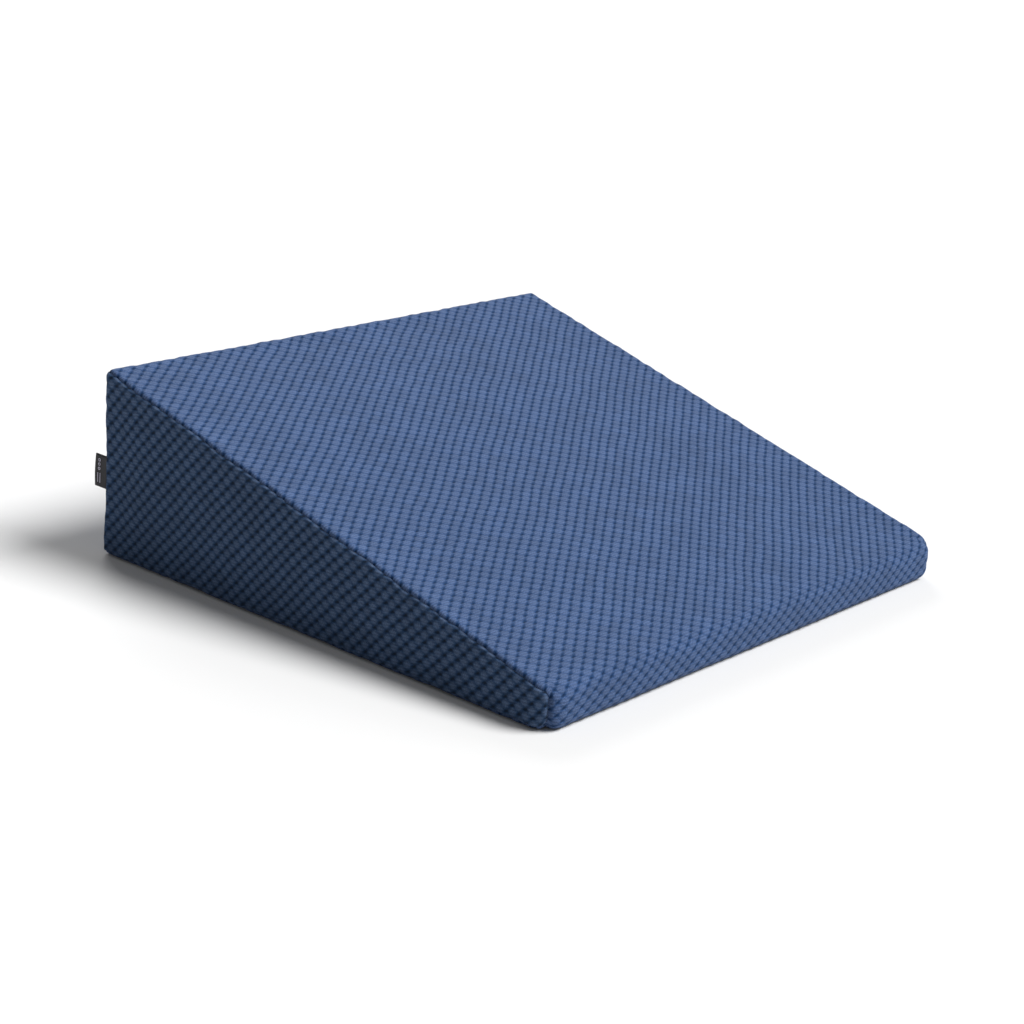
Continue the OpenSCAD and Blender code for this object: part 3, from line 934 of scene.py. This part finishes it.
for word, centre, turned in (("rear_top", C_REAR_TOP, A_TOP_SEAM), ("rear_base", C_REAR_BASE, A_BASE_SEAM),
                             ("nose_base", UNDER_NOSE, -math.pi / 2)):
    out = np.array([0, math.cos(turned), math.sin(turned)])
    path = across(*centre, 120) + SEAM_REACH * out
    sewn(f"seam_stitches_{word}", f"seam_thread_{word}", path, np.tile(out, (len(path), 1)),
         SEAM_PITCH, SEAM_STITCH, THREAD_R)

for sign, word, edge in ((1, "upper", ZIP_HIGH), (-1, "lower", ZIP_LOW)):
    path = across(REAR_Y - STITCH_SINK + ZIP_THREAD_R, edge + sign * STITCH_IN, 200)
    sewn(f"zip_stitches_{word}", f"zip_stitching_{word}", path, np.tile([0.0, 1, 0], (len(path), 1)),
         ZIP_PITCH, ZIP_STITCH, ZIP_THREAD_R)


# ---------------------------------------------------------------- zip
TAPE_HALF_GAP, TAPE_STEPS = 0.37 * MM, 15
RIB_H, RIB_W = 0.08 * MM, 5 * MM
COIL_R, COIL_PITCH, COIL_LEAN = 0.31 * MM, 1.5 * MM, 0.25 * MM
TACK_R, TACK_PITCH = 0.30 * MM, 0.5 * MM


def tape(node):
    """A woven tape with rounded selvedges and shallow ribs where the coil is sewn down."""
    low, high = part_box(node)
    side = 1 if low[2] > ZIP_Z else -1
    edges = sorted([ZIP_Z + side * TAPE_HALF_GAP, high[2] if side > 0 else low[2]])
    zs = np.linspace(edges[0], edges[1], TAPE_STEPS)
    mid, half = (low[1] + high[1]) / 2, (high[1] - low[1]) / 2
    t = np.abs(np.linspace(-1, 1, TAPE_STEPS))
    thick = half * np.sqrt(np.clip(1 - t ** 8, 0.02, 1))
    rib = RIB_H * np.cos(np.clip(np.abs(zs - ZIP_Z) / RIB_W, 0, 1) * 4 * math.pi)
    section = [(mid + h + min(0, g), z) for h, g, z in zip(thick, rib - RIB_H, zs)]
    section += [(mid - h, z) for h, z in zip(thick[::-1], zs[::-1])]
    xs = np.linspace(low[0], high[0], 297)
    points = [(x, y + 0.05 * MM * math.sin(1900 * x), z) for x in xs for y, z in section]
    obj = new_mesh(node + "_woven", points, tube_faces(len(xs), len(section)))
    outward(obj)
    return give(obj, "cushion", "zip_tape", node, material=TAPE)


def coil(node, sign, offset):
    """One side of the coil zip: loops of nylon side by side on a cord, with their heads at the middle."""
    low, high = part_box(node)
    y_mid, r = (low[1] + high[1]) / 2, COIL_R
    reach_y = (high[1] - low[1]) / 2 - r
    z_head = ZIP_Z + sign * (TAPE_HALF_GAP + r)
    z_tail = (high[2] if sign > 0 else low[2]) - sign * r
    z_mid, reach_z = (z_head + z_tail) / 2, abs(z_tail - z_head) / 2
    a = np.linspace(0, 2 * math.pi, 11)
    ring_y = reach_y * np.sign(np.cos(a)) * np.abs(np.cos(a)) ** 0.7
    ring_z = reach_z * np.sign(np.sin(a)) * np.abs(np.sin(a)) ** 0.7
    made = []
    for x in np.arange(low[0] + r + offset, high[0] - r, COIL_PITCH):
        lean = COIL_LEAN * sign * np.cos(a)
        path = np.column_stack([x + lean, y_mid + ring_y, z_mid + ring_z])
        made.append(strand(path, np.full(len(a), r), 5))
    rail = [(x, y_mid, z_tail) for x in (low[0] + r, high[0] - r)]
    made.append(strand(rail, [0.6 * r, 0.6 * r], 8))
    return give(joined(node + "_loops", made), "cushion", "zip_coil", node, material=COIL)


def tack(node):
    """A bar tack: threads laid side by side across both tapes."""
    low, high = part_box(node)
    x_mid, y_foot, y_top = (low[0] + high[0]) / 2, low[1] + 0.2 * MM, high[1] - 0.33 * MM
    y_bend = high[1] - 0.55 * MM
    made = []
    for z in np.arange(low[2] + 0.3 * MM, high[2] - 0.2 * MM, TACK_PITCH):
        wide = (high[0] - low[0]) / 2 * (1 + 0.08 * math.sin(7000 * z))
        x = x_mid + wide * np.array([-1, -0.75, 0, 0.75, 1])
        y = np.array([y_foot, y_bend, y_top, y_bend, y_foot])
        made.append(strand(np.column_stack([x, y, np.full(5, z)]), np.full(5, TACK_R)))
    core = [(x_mid, low[1] + 0.7 * MM, z) for z in (low[2] + 0.2 * MM, high[2] - 0.2 * MM)]
    made.append(strand(core, [2 * TACK_R, 2 * TACK_R], 8))
    return give(joined(node + "_threads", made), "cushion", "thread", node, material=THREAD)


def softened(node, body, width):
    """A cast metal piece with its CAD shape and softened edges."""
    obj = new_mesh(node + "_cast", [v.co for v in nodes[node].data.vertices],
                   [tuple(f.vertices) for f in nodes[node].data.polygons], smooth=False)
    bm = bmesh.new()
    bm.from_mesh(obj.data)
    bmesh.ops.remove_doubles(bm, verts=bm.verts, dist=1e-7)
    bmesh.ops.dissolve_limit(bm, angle_limit=math.radians(2), verts=bm.verts, edges=bm.edges)
    sharp = [e for e in bm.edges if len(e.link_faces) == 2 and e.calc_face_angle(0) > math.radians(35)]
    bmesh.ops.bevel(bm, geom=sharp, offset=width, offset_type="OFFSET", segments=2, profile=0.6,
                    affect="EDGES", clamp_overlap=True)
    bmesh.ops.recalc_face_normals(bm, faces=bm.faces)
    for f in bm.faces:
        f.smooth = True
    bm.to_mesh(obj.data)
    bm.free()
    obj.data.set_sharp_from_angle(angle=math.radians(50))
    return give(obj, body, "zip_metal", node, material=METAL)


for word, sign, offset in (("upper", 1, 0.0), ("lower", -1, COIL_PITCH / 2)):
    tape(f"zip_tape_{word}")
    coil(f"zip_coil_{word}", sign, offset)
for word in ("left", "right"):
    tack(f"zip_end_tack_{word}")
softened("zip_slider", "slider", 0.16 * MM)
softened("zip_pull_tab", "pull_tab", 0.14 * MM)


# ---------------------------------------------------------------- side label
LABEL_PLY, LABEL_HALF_T, LABEL_CURL = 0.28 * MM, 0.62 * MM, 0.7 * MM
RING_R, MARK_R = 1.15 * MM, 0.36 * MM


def label():
    """A woven label folded double, with a plain generic mark of three rings and two lines."""
    low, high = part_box("side_label")
    x_seam = -(HALF_W - EDGE_R) - EDGE_R * math.sin(math.pi / 4)
    y_in, y_out, half_t, ply = low[1] - 3 * MM, high[1], LABEL_HALF_T, LABEL_PLY

    def bend(y, z):
        """How far the label curls out at a place."""
        curl = LABEL_CURL * math.sin((z - low[2]) / (high[2] - low[2]) * math.pi)
        return curl * ((y - y_in) / (y_out - y_in)) ** 2

    leg = np.linspace(y_in, y_out - half_t, 12)
    centre = [(-half_t, y) for y in leg]
    centre += [(-half_t * math.sin(a), y_out - half_t + half_t * math.cos(a))
               for a in np.linspace(math.pi / 2, -math.pi / 2, 9)[1:-1]]
    centre = np.array(centre + [(half_t, y) for y in leg[::-1]])
    tangent = np.gradient(centre, axis=0)
    tangent /= np.linalg.norm(tangent, axis=1)[:, None]
    normal = np.column_stack([-tangent[:, 1], tangent[:, 0]])
    loop = np.concatenate([centre + normal * ply / 2, (centre - normal * ply / 2)[::-1]])
    zs = np.linspace(low[2], high[2], 21)
    points = [(x_seam + x - bend(y, z), y, z) for z in zs for x, y in loop]
    obj = new_mesh("side_label_folded", points, tube_faces(len(zs), len(loop)))
    outward(obj)
    obj.data.materials.append(LABEL)
    obj.data.materials.append(LABEL_MARK)

    def on_face(y, z):
        """A point on the label's outer face."""
        return x_seam - half_t - ply / 2 - bend(y, z), y

    marks = []
    y_mark, z_top = (REAR_Y + y_out) / 2 + 0.5 * MM, high[2]
    for k in range(3):
        z = z_top - (5 + 4.0 * k) * MM
        ring = [(*on_face(y_mark + RING_R * math.cos(t), z), z + RING_R * math.sin(t))
                for t in np.linspace(0, 2 * math.pi, 15)]
        marks.append(strand(ring, np.full(15, MARK_R), 5))
    for y in (y_mark - 1.4 * MM, y_mark + 1.4 * MM):
        stroke = [(*on_face(y, z), z) for z in np.linspace(z_top - 17 * MM, z_top - 26 * MM, 8)]
        marks.append(strand(stroke, np.full(8, MARK_R), 5))
    bm = bmesh.new()
    bm.from_mesh(obj.data)
    for p, f in marks:
        made = [bm.verts.new(q) for q in p]
        for face in f:
            bm.faces.new([made[k] for k in face]).material_index = 1
    bmesh.ops.recalc_face_normals(bm, faces=bm.faces)
    bm.to_mesh(obj.data)
    bm.free()
    give(obj, "cushion", "label", "side_label")


label()

# ---------------------------------------------------------------- floor, light and camera
FLOOR_HALF, FLOOR_DROP = 30, 0.5 * MM
corners = [(x * FLOOR_HALF, y * FLOOR_HALF, 0) for x, y in ((-1, -1), (1, -1), (1, 1), (-1, 1))]
floor = new_mesh("floor", corners, [(0, 1, 2, 3)], smooth=False)
floor.location.z = -FLOOR_DROP
mat, _, _, bsdf = shader("floor_white")
bsdf.inputs["Base Color"].default_value = (0.69, 0.69, 0.69, 1)
bsdf.inputs["Roughness"].default_value = 1.0
bsdf.inputs["Specular IOR Level"].default_value = 0.0
floor.data.materials.append(mat)

world = bpy.data.worlds.new("studio")
bpy.context.scene.world = world
world.use_nodes = True
backdrop = world.node_tree.nodes["Background"]
backdrop.inputs["Color"].default_value = (1, 1, 1, 1)
backdrop.inputs["Strength"].default_value = 0.22


def sun(name, from_direction, strength, softness):
    """A sun whose disc is softness degrees wide."""
    light = bpy.data.lights.new(name, "SUN")
    light.energy, light.angle = strength, math.radians(softness)
    obj = bpy.data.objects.new(name, light)
    obj.location = Vector(from_direction) * 3
    obj.rotation_euler = Vector(from_direction).to_track_quat("Z", "Y").to_euler()
    bpy.context.collection.objects.link(obj)


sun("key", (0.38, -0.48, 0.79), 4.6, 34)
sun("back_fill", (0.55, 0.75, 0.42), 1.3, 30)

AZIMUTH, ELEVATION, ROLL = math.radians(-52.3), math.radians(18.1), math.radians(5.48)
DISTANCE, LENS_MM = 2.126, 80.71875
AIM = Vector((0, 0, 0.08))
SHIFT_RIGHT, SHIFT_UP = -0.0247, -0.0262
level = math.cos(ELEVATION)
back = Vector((math.sin(AZIMUTH) * level, -math.cos(AZIMUTH) * level, math.sin(ELEVATION)))
level_right = (-back).cross(Vector((0, 0, 1))).normalized()
level_up = level_right.cross(-back)
view_right = math.cos(ROLL) * level_right + math.sin(ROLL) * level_up
view_up = -math.sin(ROLL) * level_right + math.cos(ROLL) * level_up
camera = bpy.data.objects.new("camera", bpy.data.cameras.new("camera"))
camera.data.lens = LENS_MM
eye = AIM + DISTANCE * back + SHIFT_RIGHT * view_right + SHIFT_UP * view_up
turned = Matrix((view_right, view_up, back)).transposed().to_4x4()
camera.matrix_world = Matrix.Translation(eye) @ turned
bpy.context.collection.objects.link(camera)
bpy.context.scene.camera = camera
bpy.context.scene.view_settings.view_transform = "Standard"
